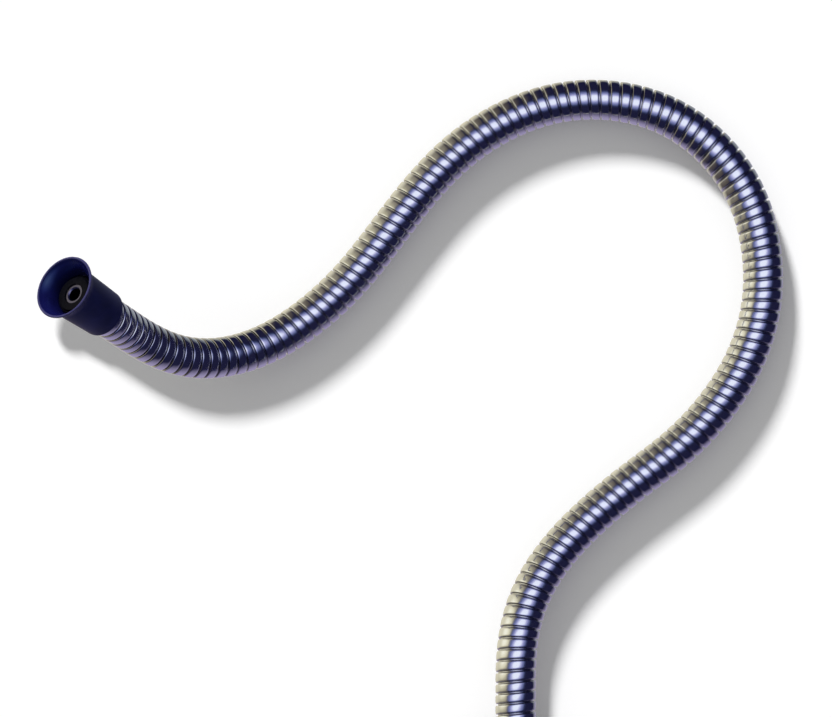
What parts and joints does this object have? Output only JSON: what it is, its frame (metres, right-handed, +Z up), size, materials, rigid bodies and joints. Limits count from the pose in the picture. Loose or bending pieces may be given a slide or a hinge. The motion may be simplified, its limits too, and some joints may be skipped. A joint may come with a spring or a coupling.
{
  "type": "flexible wort chiller hose",
  "caption": "Ribbed flexible stainless hose in a long S curve, with a dark bell-mouthed swivel coupling on each end over a nipple.",
  "frame": {"origin": "On the table, under the middle of the whole part's box.", "axes": "+Z is up from the table. The far coupling's mouth faces -Y. +X points to the side of the hose's widest arc, away from the raised near coupling."},
  "size_m": [0.2738, 0.2662, 0.0815],
  "materials": {
    "casing_steel": "polished stainless steel, ribbed",
    "ferrule_steel": "satin stainless steel",
    "nipple_plating": "plated and turned",
    "cup_moulding": "dark navy moulding, semi-gloss",
    "seal_rubber": "black moulded rubber",
    "slip_nylon": "natural nylon",
    "liner_rubber": "extruded dark liner tube"
  },
  "bodies": {
    "hose": {"ribbed_casing": "casing_steel", "inner_liner": "liner_rubber", "near_ferrule": "ferrule_steel", "near_nipple": "nipple_plating", "near_slip_washer": "slip_nylon", "near_o_ring": "seal_rubber", "far_ferrule": "ferrule_steel", "far_nipple": "nipple_plating", "far_slip_washer": "slip_nylon", "far_o_ring": "seal_rubber"},
    "near_cup": {"near_cup": "cup_moulding"},
    "far_cup": {"far_cup": "cup_moulding"}
  },
  "joints": [
    {"name": "near_cup_spin", "type": "hinge", "parent": "hose", "child": "near_cup", "pos_m": [-0.1191, 0.04667, 0.0627], "axis": [-0.5329, 0.3594, 0.766], "continuous": true},
    {"name": "far_cup_spin", "type": "hinge", "parent": "hose", "child": "far_cup", "pos_m": [0.03663, -0.11839, 0.012], "axis": [0, -1, 0], "continuous": true}
  ]
}
